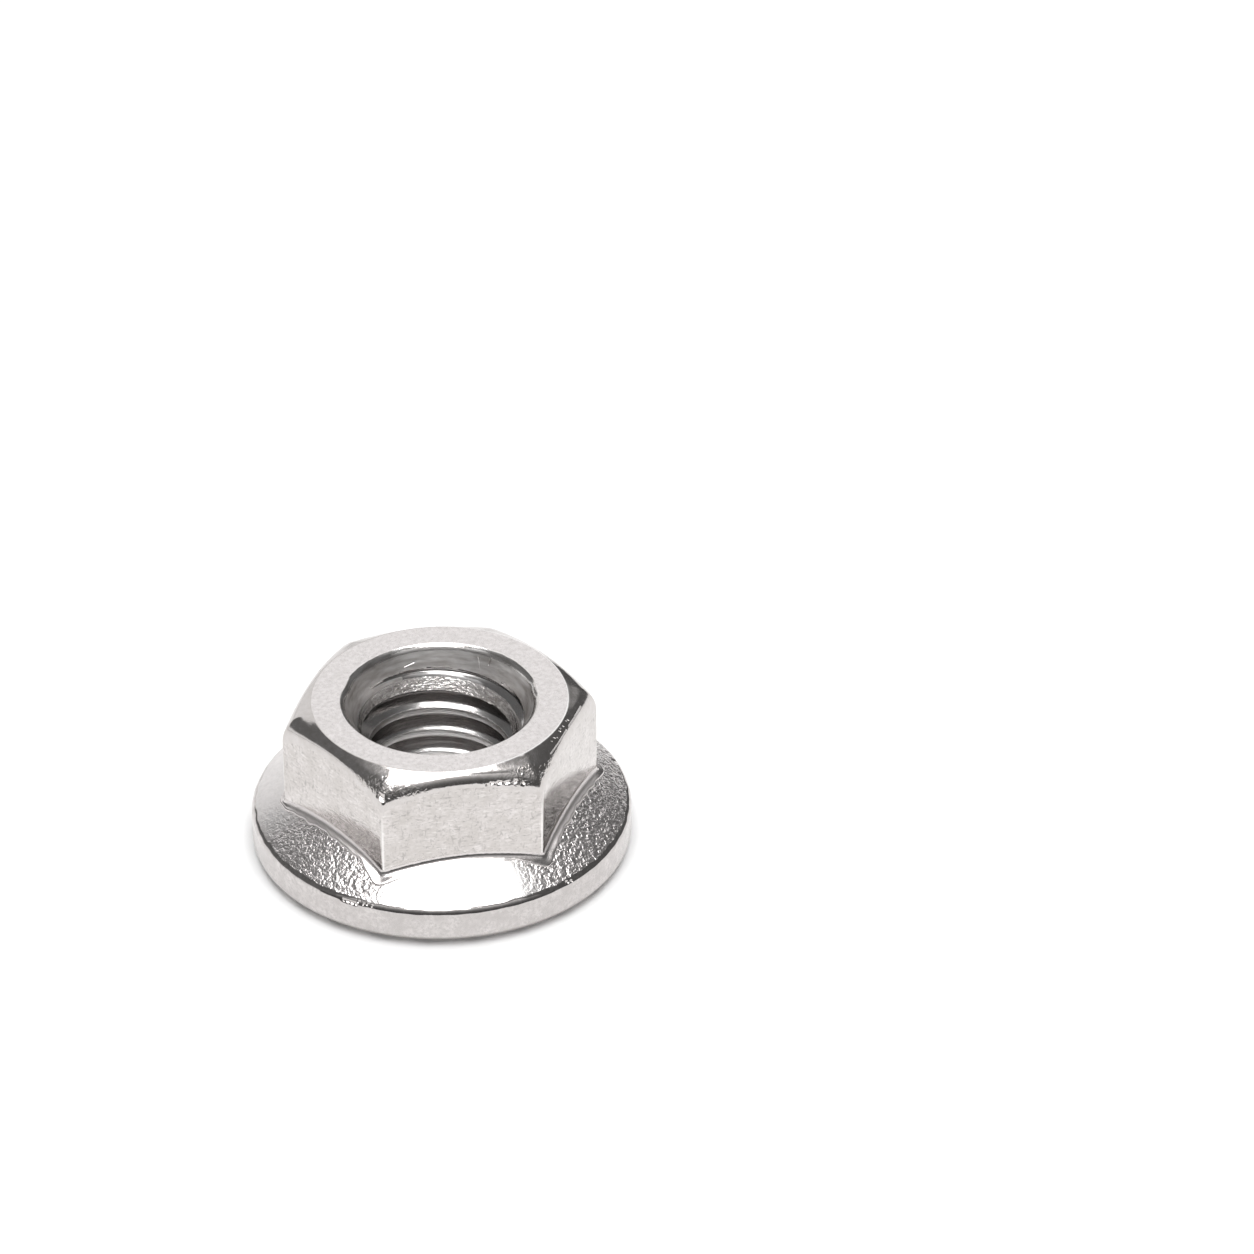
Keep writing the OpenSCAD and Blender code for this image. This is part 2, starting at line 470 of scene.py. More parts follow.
def bottom_sink_zone(angle):
    lip = sink_lip(BOTTOM_MOUTH_R)
    join = (sink_radius(BOTTOM_MOUTH_R, BOTTOM_JOIN_DEPTH), -BOTTOM_JOIN_DEPTH)
    wall_top = on_arc(lip, LIP_R, 180 - SINK_HALF_ANGLE)
    points = arc(lip, LIP_R, 90 + LIP_SLOPE, 180 - SINK_HALF_ANGLE, BOTTOM_LIP_ROWS)
    return [(r, LAND_RISE - y, -COLUMN_TURN) for r, y in points + [wall_top, join]]


ZONES = [
    (top_sink_zone, "countersink"),
    (top_face_zone, "top_face"),
    (crown_zone, "crown"),
    (flat_zone, "flats"),
    (root_zone, "root"),
    (flange_zone, "flange"),
    (rim_zone, "rim"),
    (tooth_zone, "teeth"),
    (land_zone, "land"),
    (bottom_sink_zone, "countersink"),
]
SLOTS = [
    "countersink", "top_face", "crown", "flats", "root", "flange", "rim", "teeth", "land", "thread",
]


# Mesh

def chain(mesh, points):
    """Wire through the points of a section, on the XZ plane."""
    verts = [mesh.verts.new((r, 0, z)) for r, z in points]
    edges = [mesh.edges.new(pair) for pair in zip(verts, verts[1:])]
    return verts, edges


def everything(mesh):
    return mesh.verts[:] + mesh.edges[:] + mesh.faces[:]


def spin(mesh, geometry, angle, steps, **options):
    """Turns part of a mesh round the nut's axis."""
    bmesh.ops.spin(
        mesh, geom=geometry, axis=(0, 0, 1), cent=(0, 0, 0), angle=angle, steps=steps, **options
    )


def pressed(place):
    """A place moved in to the flat of any ding that reaches it."""
    for angle, radius, height, side, upward, reach in DINGS:
        offset = place - on_nut(angle, radius, height)
        facing = on_nut(side, cos(upward), sin(upward))
        if offset.length < reach:
            place = place - facing * max(offset.dot(facing), 0)
    return place


def spin_body(mesh):
    """Spins the section round the axis, flat by flat, then moves each vertex to its own section."""
    sections = [
        [point for zone, _ in ZONES for point in zone(column * COLUMN_ANGLE)]
        for column in range(COLUMNS)
    ]
    finish_of_row = [SLOTS.index(name) for zone, name in ZONES for _ in zone(0)]
    row_of = mesh.verts.layers.int.new("row")
    verts, edges = chain(mesh, [(r, z) for r, z, _ in sections[0]])
    for row, vert in enumerate(verts):
        vert[row_of] = row
    spin(mesh, verts + edges, math.tau / FLATS, COLUMNS // FLATS)
    spin(mesh, everything(mesh), math.tau * (FLATS - 1) / FLATS, FLATS - 1, use_duplicate=True)
    bmesh.ops.remove_doubles(mesh, verts=mesh.verts[:], dist=WELD)
    for vert in mesh.verts:
        angle = math.degrees(math.atan2(vert.co.y, vert.co.x))
        column = round(angle / COLUMN_ANGLE) % COLUMNS
        radius, height, turn = sections[column][vert[row_of]]
        place = column * COLUMN_ANGLE + turn
        vert.co = pressed(on_nut(place, radius, height))
    for face in mesh.faces:
        face.material_index = finish_of_row[min(vert[row_of] for vert in face.verts)]


def thread_radius(offset):
    """Radius of the thread at a height from the middle of a crest, with softened corners."""
    flank = MINOR_R + (abs(offset) - CREST_FLAT / 2) / tan(THREAD_HALF_ANGLE)
    soft = THREAD_ROUND / 2
    for limit, side in ((MINOR_R, 1), (MAJOR_R, -1)):
        gap = side * (flank - limit)
        flank = limit + side * (gap + math.sqrt(gap**2 + soft**2)) / 2
    return flank


def thread_offsets():
    """Heights of the thread's rows over one pitch, closest together at its corners."""
    crest, root = CREST_FLAT / 2, (THREAD_PITCH - ROOT_FLAT) / 2
    around = (-THREAD_ROUND, 0, THREAD_ROUND)
    flank = [(crest + root) / 2]
    half = [crest + z for z in around] + flank + [root + z for z in around] + [THREAD_PITCH / 2]
    return [-z for z in reversed(half)] + [0] + half


def spin_thread():
    """Screws one pitch of the thread up the bore and trims it to the countersinks."""
    mesh = bmesh.new()
    low = LAND_RISE + BOTTOM_JOIN_DEPTH + JOIN_GAP
    high = OVERALL_H - TOP_JOIN_DEPTH - JOIN_GAP
    turns = math.ceil((high - low) / THREAD_PITCH) + SPARE_TURNS
    start = low - (1 + THREAD_PHASE) * THREAD_PITCH
    points = [(thread_radius(z), start + z) for z in thread_offsets()]
    verts, edges = chain(mesh, points)
    spin(mesh, verts + edges, math.tau, THREAD_STEPS, dvec=(0, 0, THREAD_PITCH / THREAD_STEPS))
    spin(
        mesh, everything(mesh), math.tau * (turns - 1), turns - 1,
        dvec=(0, 0, THREAD_PITCH), use_duplicate=True,
    )
    bmesh.ops.remove_doubles(mesh, verts=mesh.verts[:], dist=WELD)
    on_cone = set()
    for vert in mesh.verts:
        radius = math.hypot(vert.co.x, vert.co.y)
        top = sink_radius(TOP_MOUTH_R, max(OVERALL_H - vert.co.z, 0))
        bottom = sink_radius(BOTTOM_MOUTH_R, max(vert.co.z - LAND_RISE, 0))
        cone = max(top, bottom)
        if cone > radius:
            vert.co.x *= cone / radius
            vert.co.y *= cone / radius
            on_cone.add(vert)
    for face in mesh.faces:
        finish = "countersink" if on_cone.issuperset(face.verts) else "thread"
        face.material_index = SLOTS.index(finish)
    for height, outward in ((high, 1), (low, -1)):
        bmesh.ops.bisect_plane(
            mesh, geom=everything(mesh),
            plane_co=(0, 0, height), plane_no=(0, 0, outward), clear_outer=True,
        )
    return mesh


def join_thread(mesh, thread):
    """Adds the thread to the body and closes the two rings between them."""
    holder = bpy.data.meshes.new("thread")
    thread.to_mesh(holder)
    thread.free()
    mesh.from_mesh(holder)
    bpy.data.meshes.remove(holder)
    open_edges = [edge for edge in mesh.edges if edge.is_boundary]
    middle = OVERALL_H / 2
    for ring in (
        [edge for edge in open_edges if edge.verts[0].co.z > middle],
        [edge for edge in open_edges if edge.verts[0].co.z < middle],
    ):
        bridge = bmesh.ops.bridge_loops(mesh, edges=ring)
        for face in bridge["faces"]:
            face.material_index = SLOTS.index("countersink")


def build_nut():
    mesh = bmesh.new()
    spin_body(mesh)
    join_thread(mesh, spin_thread())
    bmesh.ops.recalc_face_normals(mesh, faces=mesh.faces[:])
    bmesh.ops.scale(mesh, vec=(MM, MM, MM), verts=mesh.verts[:])
    for face in mesh.faces:
        face.smooth = True
    data = bpy.data.meshes.new("nut")
    mesh.to_mesh(data)
    mesh.free()
    data.set_sharp_from_angle(angle=math.radians(SHARP_ANGLE))
    nut = bpy.data.objects.new("nut", data)
    scene.collection.objects.link(nut)
    return nut


# Finishes

def node(tree, kind, inputs=None, **settings):
    """Adds a node; its inputs are numbers, colours or the sockets that feed them."""
    made = tree.nodes.new(kind)
    for key, value in settings.items():
        setattr(made, key, value)
    for key, value in (inputs or {}).items():
        if isinstance(value, bpy.types.NodeSocket):
            tree.links.new(value, made.inputs[key])
        else:
            made.inputs[key].default_value = value
    return made


def new_material(name):
    """An empty material, with the place on the piece in millimetres."""
    material = bpy.data.materials.new(name)
    material.use_nodes = True
    tree = material.node_tree
    tree.nodes.clear()
    coords = node(tree, "ShaderNodeTexCoord").outputs["Object"]
    per_mm = node(tree, "ShaderNodeVectorMath", {0: coords, "Scale": 1 / MM}, operation="SCALE")
    return material, tree, per_mm.outputs[0]


def stretch(tree, place, scale):
    return node(tree, "ShaderNodeMapping", {"Vector": place, "Scale": scale}).outputs[0]


def round_axis(tree, place, radius):
    """Place unrolled from the axis: along the circle at a radius, away from the axis, and up."""
    parts = node(tree, "ShaderNodeSeparateXYZ", {0: place}).outputs
    angle = combine(tree, "ARCTAN2", parts["Y"], parts["X"])
    return node(tree, "ShaderNodeCombineXYZ", {
        "X": combine(tree, "MULTIPLY", angle, radius),
        "Y": from_axis(tree, place),
        "Z": parts["Z"],
    }).outputs[0]


def noise(tree, place, scale, detail=2, distortion=0.0):
    return node(tree, "ShaderNodeTexNoise", {
        "Vector": place, "Scale": scale, "Detail": detail, "Distortion": distortion,
    }).outputs[0]


def between(tree, value, low, high, from_low=0.3, from_high=0.7):
    """A noise value spread from low to high."""
    return node(tree, "ShaderNodeMapRange", {
        "Value": value, "From Min": from_low, "From Max": from_high, "To Min": low, "To Max": high,
    }).outputs[0]


def by_share(tree, share, low, high):
    """A value from low to high as a share goes from 0 to 1."""
    return between(tree, share, low, high, 0, 1)


def combine(tree, operation, first, second):
    """Two values joined by a math node."""
    return node(tree, "ShaderNodeMath", {0: first, 1: second}, operation=operation).outputs[0]


def tints(tree, value, low, high):
    """Colour from one tint to another by a value from 0 to 1."""
    return node(tree, "ShaderNodeMix", {
        "Factor": value, "A": (*low, 1), "B": (*high, 1),
    }, data_type="RGBA").outputs["Result"]


def mixed(tree, value, base, spot):
    """A colour socket changed to a tint where a value nears 1."""
    return node(tree, "ShaderNodeMix", {
        "Factor": value, "A": base, "B": (*spot, 1),
    }, data_type="RGBA").outputs["Result"]


def height_of(tree, place):
    return node(tree, "ShaderNodeSeparateXYZ", {0: place}).outputs["Z"]


def vector(tree, operation, first, second=(0, 0, 0)):
    """Outputs of a vector math node."""
    return node(tree, "ShaderNodeVectorMath", {0: first, 1: second}, operation=operation).outputs


def level_place(tree, place):
    return vector(tree, "MULTIPLY", place, (1, 1, 0))[0]


def from_axis(tree, place):
    """Distance of a place from the axis, in millimetres."""
    return vector(tree, "LENGTH", level_place(tree, place))["Value"]


def near_side(tree, place, side, full, none):
    """1 within one angle of a side of the nut, down to 0 at another angle from it."""
    way = vector(tree, "NORMALIZE", level_place(tree, place))[0]
    turn = vector(tree, "DOT_PRODUCT", way, (cos(side), sin(side), 0))["Value"]
    return between(tree, turn, 0, 1, cos(none), cos(full))


def from_stroke(tree, place, start, end):
    """Distance of a place from a straight stroke, or from a point where the two ends are one."""
    run = end - start
    offset = vector(tree, "SUBTRACT", place, start)[0]
    if run.length == 0:
        return vector(tree, "LENGTH", offset)["Value"]
    along_run = vector(tree, "DOT_PRODUCT", offset, run / run.length_squared)["Value"]
    share = node(tree, "ShaderNodeClamp", {"Value": along_run}).outputs[0]
    nearest = node(tree, "ShaderNodeVectorMath", {0: run, "Scale": share}, operation="SCALE")
    return vector(tree, "DISTANCE", offset, nearest.outputs[0])["Value"]


def marks(tree, place, strokes):
    """Height that dips from 1 to 0 in the middle of each dent or scratch: start, end and half width."""
    height = 1.0
    for start, end, half_width in strokes:
        away = from_stroke(tree, place, on_nut(*start), on_nut(*end))
        dip = node(tree, "ShaderNodeMapRange", {
            "Value": away, "From Max": half_width,
        }, interpolation_type="SMOOTHSTEP").outputs[0]
        height = combine(tree, "MINIMUM", height, dip)
    return height


def dents(spots):
    """Strokes of no length: angle, distance from the axis, height and half width."""
    return [(spot[:3], spot[:3], spot[3]) for spot in spots]


def relief(tree, height, depth, normal=None, share=1.0):
    """Surface relief whose full height is a depth in millimetres."""
    inputs = {"Height": height, "Distance": depth * MM, "Strength": share}
    if normal is not None:
        inputs["Normal"] = normal
    return node(tree, "ShaderNodeBump", inputs).outputs[0]


def shade(tree, colour, roughness, normal):
    shader = node(tree, "ShaderNodeBsdfPrincipled", {
        "Base Color": colour, "Metallic": 1, "Roughness": roughness, "Normal": normal,
    })
    node(tree, "ShaderNodeOutputMaterial", {"Surface": shader.outputs[0]})


STEEL = (0.64, 0.61, 0.60)
# Bright tint for wear, also used to paint highlights on edges
STEEL_WEAR_AND_HIGHLIGHT = (0.93, 0.91, 0.90)
STEEL_DARK = (0.34, 0.32, 0.31)
STEEL_DULL = (0.50, 0.475, 0.465)
STEEL_BRIGHT = (0.70, 0.665, 0.655)
STEEL_WHITE = (0.79, 0.755, 0.75)
STEEL_STAINED = (0.56, 0.53, 0.51)
# Darker, neutral tint that paints the shade inside the bore
STEEL_BORE_SHADE = (0.53, 0.52, 0.515)


# Small dents from handling: angle in degrees, then distance from the axis, height and size in millimetres
CROWN_DENTS = [
    (-118, 7.1, 6.82, 0.1), (-172, 7.0, 6.95, 0.1), (-80, 6.5, 7.12, 0.08),
    (-43, 6.2, 7.61, 0.05), (-40.5, 6.17, 7.64, 0.07), (-39, 6.25, 7.58, 0.05),
    (-35, 6.15, 7.63, 0.08), (-33.5, 6.1, 7.67, 0.05), (-31, 6.14, 7.64, 0.06),
    (-27, 6.12, 7.65, 0.05), (-25.5, 6.18, 7.61, 0.07), (35, 6.5, 7.2, 0.1),
    (88, 6.4, 7.25, 0.1), (146, 6.15, 7.63, 0.07),
]
RIM_DENTS = [
    (-124.5, 8.78, 1.95, 0.14), (-122.8, 8.8, 1.9, 0.1), (-121.5, 8.78, 1.95, 0.12),
    (-120, 8.8, 1.92, 0.1), (-58, 8.8, 1.95, 0.14), (-56.5, 8.82, 1.9, 0.1),
    (30, 8.8, 1.92, 0.12), (112, 8.78, 1.95, 0.14),
]
# Scratches: start, end and half width, with places as for the dents
CROWN_SCRATCHES = [
    ((-48, 6.55, 7.38), (-39, 6.38, 7.44), 0.04),
    ((-39, 6.38, 7.44), (-31, 6.3, 7.47), 0.05),
    ((-28, 6.3, 7.47), (-21, 6.38, 7.44), 0.06),
    ((-20, 6.38, 7.44), (-12, 6.55, 7.38), 0.06),
    ((96, 6.32, 7.5), (107, 6.44, 7.44), 0.07),
]
SINK_SCRATCHES = [
    ((56, 4.3, 7.4), (50, 3.8, 6.5), 0.05),
    ((47, 4.4, 7.5), (48, 4.2, 7.2), 0.05),
    ((112, 4.45, 7.5), (112, 4.3, 7.3), 0.05),
    ((105, 4.1, 7.0), (98, 4.15, 7.1), 0.05),
    ((84, 3.9, 6.65), (78, 3.95, 6.75), 0.06),
    ((76, 3.95, 6.75), (69, 3.95, 6.78), 0.05),
    ((230, 4.2, 7.15), (240, 4.0, 6.8), 0.05),
    ((310, 4.3, 7.3), (318, 4.1, 7.0), 0.05),
]

# Sides of the nut that forming or wear has changed, and the side whose top edge also has a painted
# highlight, in degrees. Each reach is the angle from that side within which a finish is full, and the
# angle at which it is gone.
PRESSED_SIDE = 158
PRESSED_REACH = (14, 36)
STRUCK_SIDE = -93
STRUCK_REACH = (20, 30)
STRUCK_ROOT_REACH = (24, 34)
STRUCK_CROWN_REACH = (45, 65)
FAINT_SIDE = 180
FAINT_REACH = (15, 55)
WORN_HIGHLIT_SIDE = -15
WORN_HIGHLIT_REACH = (60, 100)

# Distances from the axis between which finishes and painted highlights change, in millimetres
WORN_HIGHLIT_CORNER_RADII = (7.372, 7.383)
CROWN_CORNER_RADII = (6.4, 6.8)
SATIN_ROOT_RADII = (7.2, 7.5)
THREAD_CREST_RADII = (MINOR_R + 0.03, MINOR_R + 0.09)

# Heights between which finishes, painted highlights and painted shade change, in millimetres
WORN_HIGHLIT_CORNER_HEIGHTS = (4.6, 6.1)
CROWN_GRAIN_HEIGHTS = (6.75, 7.1)
# Heights of the crown's top edge that is brighter for wear and a painted highlight
WORN_HIGHLIT_EDGE_HEIGHTS = (OVERALL_H - 0.035, OVERALL_H - 0.015)
RIM_ROUND_HEIGHTS = (RIM_HIGH - 0.1, RIM_HIGH + 0.05)
# Painted shade on the rim's lower edge starts and ends at these heights
RIM_FOOT_SHADE_HEIGHTS = (0.47, 0.58)
SINK_LIP_HEIGHTS = (OVERALL_H - 0.3, OVERALL_H - 0.2)
SCUFFED_CONE_HEIGHTS = (OVERALL_H - 1.5, OVERALL_H - 1.1)
MIDDLE_HEIGHTS = (OVERALL_H / 3, OVERALL_H / 2)


def turned_top():
    """Top face: fine satin mottle."""
    material, tree, place = new_material("turned_top")
    mottle = noise(tree, place, scale=5, detail=4)
    fine = noise(tree, place, scale=13)
    colour = tints(tree, between(tree, mottle, 0, 1), STEEL, STEEL_WHITE)
    shade(tree, colour, between(tree, fine, 0.24, 0.38), relief(tree, fine, depth=0.004))
    return material


def drawn_flats():
    """Flats: fairly bright, with short level and upright marks, pits, and corner edges brightened for
    wear and a painted highlight.
    """
    material, tree, place = new_material("drawn_flats")
    patches = noise(tree, place, scale=1.2, detail=3)
    fine = noise(tree, stretch(tree, place, (1, 1, 1.5)), scale=6, detail=4)
    dashes = noise(tree, stretch(tree, place, (1, 1, 3.5)), scale=2.6, detail=5, distortion=0.8)
    uprights = noise(tree, stretch(tree, place, (3, 3, 1)), scale=2.6, detail=5, distortion=0.8)
    specks = noise(tree, stretch(tree, place, (1, 1, 1.4)), scale=6)
    scuffs = noise(tree, place, scale=2.2, distortion=0.6)

    even = tints(tree, between(tree, patches, 0, 1), STEEL_STAINED, STEEL_BRIGHT)
    stained = mixed(tree, between(tree, fine, 1, 0, 0.35, 0.6), even, STEEL_STAINED)
    lines = between(tree, combine(tree, "MINIMUM", dashes, uprights), 0.75, 0, 0.3, 0.43)
    scuffed = combine(tree, "MULTIPLY", lines, between(tree, scuffs, 0.3, 1, 0.35, 0.55))
    dashed = mixed(tree, scuffed, stained, STEEL_DARK)
    flecked = mixed(tree, between(tree, dashes, 0, 0.35, 0.58, 0.7), dashed, STEEL_WEAR_AND_HIGHLIGHT)
    pitted = mixed(tree, between(tree, specks, 0.6, 0, 0.3, 0.34), flecked, STEEL_DARK)
    # Corner edges: brighter for wear and a painted highlight, fading upwards
    corner = between(tree, from_axis(tree, place), 0, 0.7, *WORN_HIGHLIT_CORNER_RADII)
    lower = between(tree, height_of(tree, place), 1, 0.1, *WORN_HIGHLIT_CORNER_HEIGHTS)
    colour = mixed(tree, combine(tree, "MULTIPLY", corner, lower), pitted, STEEL_WEAR_AND_HIGHLIGHT)

    normal = relief(tree, dashes, depth=0.003)
    normal = relief(tree, specks, depth=0.002, normal=normal)
    shade(tree, colour, between(tree, patches, 0.03, 0.07), normal)
    return material


def rolled_crown():
    """Crown: smooth and bright, with dents and scratches, grained on the struck side's corners."""
    material, tree, place = new_material("rolled_crown")
    swells = noise(tree, place, scale=3, detail=3)
    grain = noise(tree, place, scale=6, distortion=0.6)
    high = height_of(tree, place)

    # Top edge on one side: brighter for wear and a painted highlight
    edge = between(tree, high, 0, 1, *WORN_HIGHLIT_EDGE_HEIGHTS)
    worn_highlit_edge = combine(tree, "MULTIPLY", edge, near_side(tree, place, WORN_HIGHLIT_SIDE, *WORN_HIGHLIT_REACH))
    even = tints(tree, between(tree, swells, 0, 1), STEEL_STAINED, STEEL)
    colour = mixed(tree, worn_highlit_edge, even, STEEL_WEAR_AND_HIGHLIGHT)

    struck = near_side(tree, place, STRUCK_SIDE, *STRUCK_CROWN_REACH)
    corner = between(tree, from_axis(tree, place), 0.03, 1, *CROWN_CORNER_RADII)
    upper = between(tree, high, 0, 1, *CROWN_GRAIN_HEIGHTS)
    grained = combine(tree, "MULTIPLY", combine(tree, "MULTIPLY", struck, corner), upper)
    normal = relief(tree, swells, depth=0.004)
    normal = relief(tree, grain, depth=0.045, normal=normal, share=grained)
    dips = marks(tree, place, dents(CROWN_DENTS) + CROWN_SCRATCHES)
    normal = relief(tree, dips, depth=0.045, normal=normal)
    shade(tree, colour, between(tree, swells, 0.09, 0.16), normal)
    return material


def smooth_root():
    """Foot of the hexagon: satin on the flats, smooth at the corners and on the struck side."""
    material, tree, place = new_material("smooth_root")
    streaks = noise(tree, stretch(tree, place, (1, 1, 4)), scale=3, detail=3)
    colour = tints(tree, between(tree, streaks, 0, 1), STEEL, STEEL_BRIGHT)
    satin = between(tree, from_axis(tree, place), 0.4, 0.14, *SATIN_ROOT_RADII)
    struck = near_side(tree, place, STRUCK_SIDE, *STRUCK_ROOT_REACH)
    roughness = combine(tree, "MINIMUM", satin, by_share(tree, struck, 0.4, 0.15))
    shade(tree, colour, roughness, relief(tree, streaks, depth=0.006))
    return material


def grained_flange():
    """Flange top: close worm-like grain from the blank, flattened on two sides."""
    material, tree, place = new_material("grained_flange")
    worms = noise(tree, place, scale=4.6, detail=1, distortion=0.5)
    fine = noise(tree, place, scale=11, detail=1)
    flattened = near_side(tree, place, PRESSED_SIDE, *PRESSED_REACH)
    struck = near_side(tree, place, STRUCK_SIDE, *STRUCK_REACH)
    faint = near_side(tree, place, FAINT_SIDE, *FAINT_REACH)

    grained = tints(tree, between(tree, worms, 0, 1), STEEL, STEEL_WHITE)
    polish = combine(
        tree, "MAXIMUM", by_share(tree, struck, 0, 0.9), by_share(tree, flattened, 0, 0.5)
    )
    colour = mixed(tree, polish, grained, STEEL_WEAR_AND_HIGHLIGHT)

    grain = by_share(tree, combine(tree, "MAXIMUM", flattened, struck), 1, 0.03)
    coarse = combine(tree, "MULTIPLY", grain, by_share(tree, faint, 1, 0.5))
    close = combine(tree, "MULTIPLY", grain, by_share(tree, faint, 0.2, 0.8))
    normal = relief(tree, worms, depth=0.085, share=coarse)
    normal = relief(tree, fine, depth=0.035, normal=normal, share=close)
    shade(tree, colour, by_share(tree, flattened, 0.26, 0.5), normal)
    return material


def rolled_rim():
    """Rim: satin, with faint upright streaks, mottle and dents, and painted shade on its lower edge."""
    material, tree, place = new_material("rolled_rim")
    streaks = noise(tree, stretch(tree, place, (1, 1, 0.3)), scale=4, detail=3)
    mottle = noise(tree, place, scale=7, detail=3)
    patches = noise(tree, place, scale=2, detail=3)
    high = height_of(tree, place)

    even = tints(tree, between(tree, patches, 0, 1), STEEL_DULL, STEEL)
    mottled = mixed(tree, between(tree, mottle, 1, 0, 0.35, 0.56), even, STEEL_DULL)
    # Painted shade: the rim's lower edge is tinted dark where the floor beneath it lies in shadow
    colour = mixed(tree, between(tree, high, 1, 0, *RIM_FOOT_SHADE_HEIGHTS), mottled, STEEL_DARK)

    wall = between(tree, high, 1, 0, *RIM_ROUND_HEIGHTS)
    normal = relief(tree, streaks, depth=0.008, share=wall)
    normal = relief(tree, mottle, depth=0.008, normal=normal, share=wall)
    normal = relief(tree, marks(tree, place, dents(RIM_DENTS)), depth=0.08, normal=normal)
    shade(tree, colour, by_share(tree, wall, 0.08, 0.26), normal)
    return material


def turned_sink():
    """Countersinks: tool marks round the axis, scratches, and scuffs low on the top one's cone."""
    material, tree, place = new_material("turned_sink")
    unrolled = round_axis(tree, place, MAJOR_R)
    rings = noise(tree, stretch(tree, unrolled, (0.25, 9, 9)), scale=1, detail=4)
    smears = noise(tree, stretch(tree, unrolled, (0.7, 3, 3)), scale=1.5, detail=3)
    scuffs = noise(tree, stretch(tree, unrolled, (1.2, 3, 3)), scale=3, detail=3)
    high = height_of(tree, place)

    cone = between(tree, high, 1, 0.1, *SCUFFED_CONE_HEIGHTS)
    scuffed = combine(tree, "MULTIPLY", cone, between(tree, high, 0.1, 1, *MIDDLE_HEIGHTS))
    normal = relief(tree, smears, depth=0.006)
    normal = relief(tree, rings, depth=0.004, normal=normal)
    normal = relief(tree, scuffs, depth=0.09, normal=normal, share=scuffed)
    normal = relief(tree, marks(tree, place, SINK_SCRATCHES), depth=0.03, normal=normal)

    colour = tints(tree, between(tree, smears, 0, 1), STEEL_STAINED, STEEL_WEAR_AND_HIGHLIGHT)
    satin = between(tree, high, 0.38, 0.18, *SINK_LIP_HEIGHTS)
    roughness = combine(tree, "SUBTRACT", satin, by_share(tree, scuffed, 0, 0.2))
    shade(tree, colour, roughness, normal)
    return material


def cut_thread():
    """Thread: bright flanks with marks along the turns, scuffed crests and faint stains, in darker tints
    that paint the shade inside the bore.
    """
    material, tree, place = new_material("cut_thread")
    unrolled = round_axis(tree, place, MAJOR_R)
    turns = noise(tree, stretch(tree, unrolled, (0.5, 7, 7)), scale=1, detail=3)
    scuffs = noise(tree, stretch(tree, unrolled, (1.2, 3, 3)), scale=3, detail=3)
    stains = noise(tree, place, scale=1.6, detail=4)
    # The thread's darker tints paint the shade inside the bore
    colour = tints(tree, between(tree, stains, 0, 1, 0.4, 0.7), STEEL_BORE_SHADE, STEEL_DULL)
    crest = between(tree, from_axis(tree, place), 1, 0, *THREAD_CREST_RADII)
    normal = relief(tree, turns, depth=0.006)
    normal = relief(tree, scuffs, depth=0.03, normal=normal, share=crest)
    shade(tree, colour, by_share(tree, crest, 0.14, 0.28), normal)
    return material


def struck_teeth():
    """Serrations and bevel: struck bright, with fine grain."""
    material, tree, place = new_material("struck_teeth")
    grain = noise(tree, place, scale=6, detail=3)
    colour = tints(tree, between(tree, grain, 0, 1), STEEL_DULL, STEEL_BRIGHT)
    shade(tree, colour, between(tree, grain, 0.16, 0.28), relief(tree, grain, depth=0.008))
    return material


def rough_land():
    """Land round the bottom countersink: rough, speckled grain."""
    material, tree, place = new_material("rough_land")
    worms = noise(tree, place, scale=6, distortion=0.8)
    colour = tints(tree, between(tree, worms, 0, 1), STEEL_DULL, STEEL_BRIGHT)
    shade(tree, colour, between(tree, worms, 0.2, 0.34), relief(tree, worms, depth=0.026))
    return material


FINISHES = {
    "countersink": turned_sink,
    "top_face": turned_top,
    "crown": rolled_crown,
    "flats": drawn_flats,
    "root": smooth_root,
    "flange": grained_flange,
    "rim": rolled_rim,
    "teeth": struck_teeth,
    "land": rough_land,
    "thread": cut_thread,
}


def finish_nut(nut):
    for slot in SLOTS:
        nut.data.materials.append(FINISHES[slot]())


# Studio

CAMERA_AZIMUTH = -10.47
CAMERA_ELEVATION = 33.64
SENSOR_MM = 36
IMAGE_PX = 1254
FOCAL_PX = 6000
# Place of the nut's origin seen from the camera: right, down and ahead, in millimetres
NUT_IN_VIEW = (-8.686, 9.743, 282.23)


def place_camera():
    data = bpy.data.cameras.new("camera")
    data.sensor_width = SENSOR_MM
    data.lens = FOCAL_PX / IMAGE_PX * SENSOR_MM
    camera = bpy.data.objects.new("camera", data)
    scene.collection.objects.link(camera)
    camera.rotation_euler = (math.radians(90 - CAMERA_ELEVATION), 0, math.radians(CAMERA_AZIMUTH))
    right, down, ahead = NUT_IN_VIEW
    camera.location = camera.rotation_euler.to_matrix() @ Vector((-right, down, ahead)) * MM
    scene.camera = camera


FLOOR_SIZE = 3.0
FLOOR_LIFT = 0.06
# Dark cards that only reflections see: name, distance in metres, then from and to round the table from
# the camera's side, anticlockwise, from and to above the table, in degrees, how late it fades upwards,
# and its brightness
CARDS = [
    ("front_card", 0.12, -65, 60, 0, 58, 3, 0.1),
    ("left_card", 0.4, 220, 325, 8, 70, 14, 0.17),
    ("right_card", 0.4, 30, 145, 0, 72, 14, 0.13),
    ("low_card", 0.42, 120, 168, 0, 30, 6, 0.11),
]
CARD_ROWS = 8
CARD_COLUMNS = 32
# Softbox over the table, in metres: to the right, away from the camera and up
SOFTBOX_PLACE = (0.02, -0.13, 0.5)
SOFTBOX_WIDTH = 0.45
SOFTBOX_LENGTH = 0.64
SOFTBOX_WATTS = 3.4
# Light from all round the table, and the white that is seen behind it
AMBIENT = 0.2
BACKDROP = 1.0
PAPER_WHITE = (1, 1, 1, 1)


